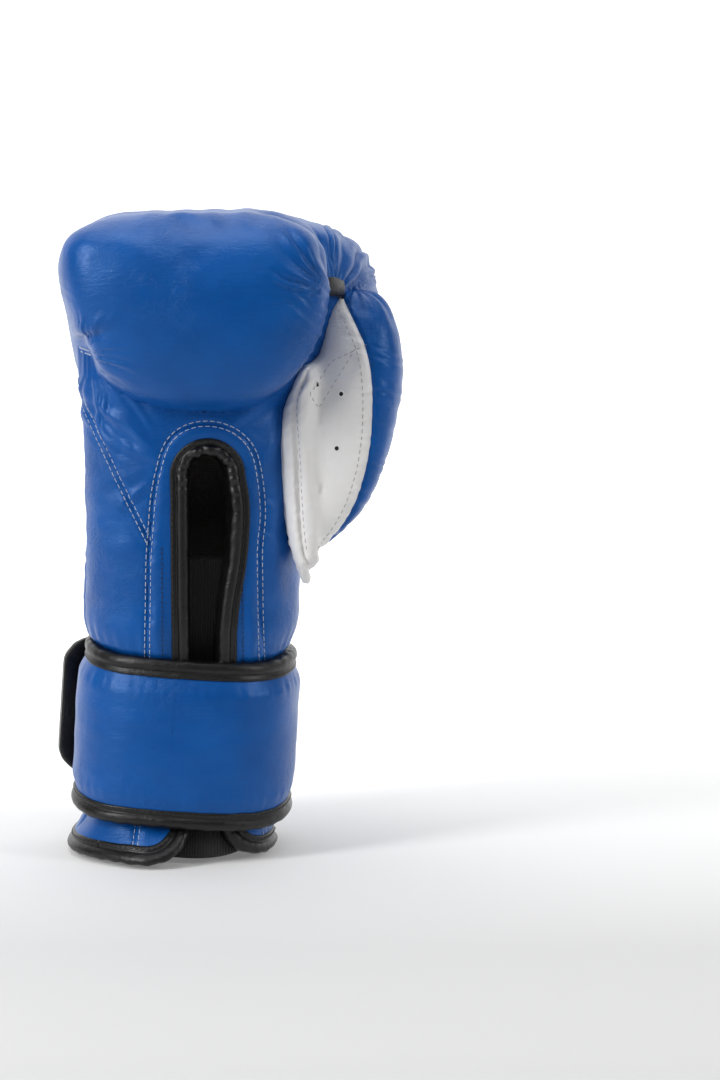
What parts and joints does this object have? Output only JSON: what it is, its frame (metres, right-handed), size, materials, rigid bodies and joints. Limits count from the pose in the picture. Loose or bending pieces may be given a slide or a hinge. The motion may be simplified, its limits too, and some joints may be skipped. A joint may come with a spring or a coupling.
{
  "type": "boxing glove",
  "caption": "Right-hand padded boxing glove with attached thumb, open wrist slot and a wrap-around hook-and-loop wrist strap.",
  "frame": {"origin": "middle of the glove's footprint, on the surface that the wrist hem stands on", "axes": "+Z from wrist to knuckles, -Y the palm side, +X the thumb side"},
  "size_m": [0.1722, 0.1426, 0.3102],
  "materials": {
    "blue_leather": "satin grained",
    "white_leather": "satin grained",
    "black_leather": "satin",
    "foam": "matte closed-cell foam",
    "dense_foam": "matte dense foam",
    "lining_fabric": "matte woven",
    "stretch_fabric": "ribbed elastic",
    "strap_lining": "matte woven",
    "loop_fabric": "soft looped pile",
    "hook_fabric": "fine hooks"
  },
  "bodies": {
    "glove": {"fist_cover": "blue_leather", "back_panel": "blue_leather", "slot_facing": "blue_leather", "side_panel": "blue_leather", "palm_panel": "blue_leather", "cuff_foam": "foam", "palm_foam": "foam", "knuckle_foam": "dense_foam", "fist_foam": "foam", "hand_lining": "lining_fabric", "grip_roll": "foam", "tongue": "stretch_fabric", "edge_binding": "black_leather", "loop_patch": "loop_fabric", "thumb_gusset": "white_leather", "thumb_tie": "black_leather", "strap_anchor": "blue_leather"},
    "thumb": {"thumb_cover": "blue_leather", "thumb_panel": "white_leather", "thumb_foam": "foam", "thumb_lining": "lining_fabric"},
    "strap_1": {"strap_back_1": "strap_lining", "strap_pad_1": "foam", "strap_face_1": "blue_leather", "strap_binding_1": "black_leather"},
    "strap_2": {"strap_back_2": "strap_lining", "strap_pad_2": "foam", "strap_face_2": "blue_leather", "strap_binding_2": "black_leather"},
    "strap_3": {"strap_back_3": "strap_lining", "strap_pad_3": "foam", "strap_face_3": "blue_leather", "strap_binding_3": "black_leather"},
    "strap_4": {"strap_back_4": "strap_lining", "strap_pad_4": "foam", "strap_face_4": "blue_leather", "strap_binding_4": "black_leather"},
    "strap_5": {"strap_back_5": "strap_lining", "strap_pad_5": "foam", "strap_face_5": "blue_leather", "strap_binding_5": "black_leather"},
    "strap_6": {"strap_back_6": "strap_lining", "strap_pad_6": "foam", "strap_face_6": "blue_leather", "strap_binding_6": "black_leather"},
    "strap_7": {"strap_back_7": "strap_lining", "strap_pad_7": "foam", "strap_face_7": "blue_leather", "strap_binding_7": "black_leather"},
    "strap_tab": {"tab_back": "strap_lining", "tab_pad": "foam", "tab_face": "blue_leather", "tab_binding": "black_leather", "hook_patch": "hook_fabric"}
  },
  "joints": [
    {"name": "strap_open", "type": "hinge", "parent": "glove", "child": "strap_1", "pos_m": [-0.07354, 0.02072, 0.06309], "axis": [-0.068, 0, -0.9977], "range_deg": [0, 38]},
    {"name": "strap_fold_1", "type": "hinge", "parent": "strap_1", "child": "strap_2", "pos_m": [-0.07082, -0.01527, 0.06291], "axis": [-0.068, 0, -0.9977], "range_deg": [0, 46.9]},
    {"name": "strap_fold_2", "type": "hinge", "parent": "strap_2", "child": "strap_3", "pos_m": [-0.04214, -0.03882, 0.06095], "axis": [-0.068, 0, -0.9977], "range_deg": [0, 36.9]},
    {"name": "strap_fold_3", "type": "hinge", "parent": "strap_3", "child": "strap_4", "pos_m": [-0.0069, -0.04032, 0.05855], "axis": [-0.068, 0, -0.9977], "range_deg": [0, 30.5]},
    {"name": "strap_fold_4", "type": "hinge", "parent": "strap_4", "child": "strap_5", "pos_m": [0.02552, -0.02278, 0.05634], "axis": [-0.068, 0, -0.9977], "range_deg": [0, 50]},
    {"name": "strap_fold_5", "type": "hinge", "parent": "strap_5", "child": "strap_6", "pos_m": [0.03339, 0.01275, 0.0558], "axis": [-0.068, 0, -0.9977], "range_deg": [0, 36.2]},
    {"name": "strap_fold_6", "type": "hinge", "parent": "strap_6", "child": "strap_7", "pos_m": [0.0182, 0.04643, 0.05684], "axis": [-0.068, 0, -0.9977], "range_deg": [0, 49.5]},
    {"name": "tab_peel", "type": "hinge", "parent": "strap_7", "child": "strap_tab", "pos_m": [-0.01651, 0.05706, 0.0592], "axis": [-0.068, 0, -0.9977], "range_deg": [0, 60]},
    {"name": "thumb_flex", "type": "hinge", "parent": "glove", "child": "thumb", "pos_m": [0.03697, -0.0073, 0.141], "axis": [0, 1, 0], "range_deg": [0, 10], "stiffness_Nm_per_rad": 0.6, "springref_deg": -6.88}
  ],
  "couplings": [
    {"joint": "strap_fold_1", "follows": "strap_open", "ratio": 1.2314},
    {"joint": "strap_fold_2", "follows": "strap_open", "ratio": 0.9671},
    {"joint": "strap_fold_3", "follows": "strap_open", "ratio": 0.7994},
    {"joint": "strap_fold_4", "follows": "strap_open", "ratio": 1.3129},
    {"joint": "strap_fold_5", "follows": "strap_open", "ratio": 0.9488},
    {"joint": "strap_fold_6", "follows": "strap_open", "ratio": 1.2985}
  ]
}
